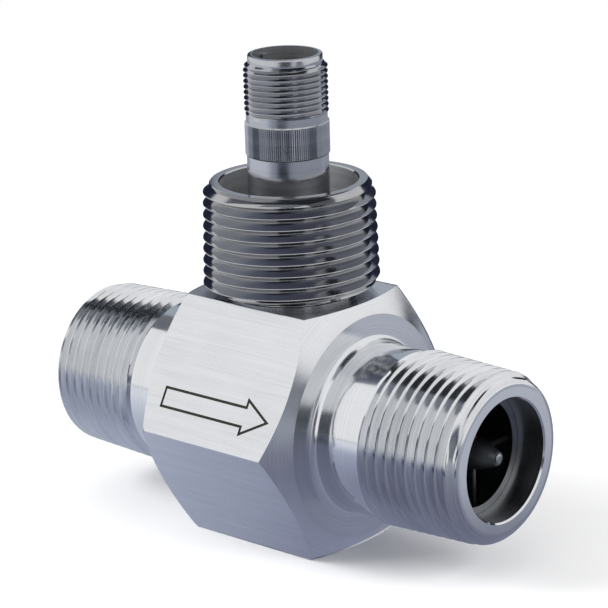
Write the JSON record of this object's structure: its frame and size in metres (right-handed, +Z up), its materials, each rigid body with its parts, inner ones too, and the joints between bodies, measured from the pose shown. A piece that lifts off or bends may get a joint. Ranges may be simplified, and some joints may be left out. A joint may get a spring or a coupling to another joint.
{
  "type": "turbine water flow sensor",
  "caption": "Turbine flow sensor: hexagon body with male pipe threads, bladed rotor between vaned supports, and a magnetic pickup in a threaded riser.",
  "frame": {"origin": "centre of the hexagon's bottom flat, which the sensor rests on, under the rotor", "axes": "+X along the flow, from inlet to outlet; +Y to the back; +Z up, along the pickup"},
  "size_m": [0.1016, 0.055, 0.0936],
  "materials": {
    "body_steel": "turned and brushed stainless steel",
    "riser_steel": "turned stainless steel, a little darker",
    "pickup_steel": "turned stainless steel with a straight knurl",
    "support_steel": "machined stainless steel, dull",
    "ring_steel": "bright spring steel",
    "rotor_steel": "machined magnetic stainless steel",
    "carbide": "ground tungsten carbide",
    "insert_plastic": "black moulded insert",
    "contact_gold": "gold-plated contacts",
    "pole_iron": "soft iron",
    "magnet": "nickel-plated magnet",
    "bobbin_plastic": "moulded plastic",
    "copper": "enamelled copper wire",
    "resin": "black potting resin"
  },
  "bodies": {
    "housing": {"meter_body": "body_steel", "conduit_riser": "riser_steel", "pickup_shell": "pickup_steel", "connector_insert": "insert_plastic", "contact_pin_a": "contact_gold", "contact_pin_b": "contact_gold", "pole_piece": "pole_iron", "pickup_magnet": "magnet", "coil_bobbin": "bobbin_plastic", "coil_winding": "copper", "coil_lead_a": "copper", "coil_lead_b": "copper", "pickup_potting": "resin", "upstream_support": "support_steel", "downstream_support": "support_steel", "upstream_retaining_ring": "ring_steel", "downstream_retaining_ring": "ring_steel", "upstream_bearing": "carbide", "downstream_bearing": "carbide", "upstream_thrust_pin": "carbide", "downstream_thrust_pin": "carbide"},
    "rotor_assembly": {"rotor": "rotor_steel", "rotor_shaft": "carbide"}
  },
  "joints": [
    {"name": "rotor_spin", "type": "hinge", "parent": "housing", "child": "rotor_assembly", "pos_m": [0, 0, 0.02381], "axis": [1, 0, 0], "continuous": true}
  ]
}
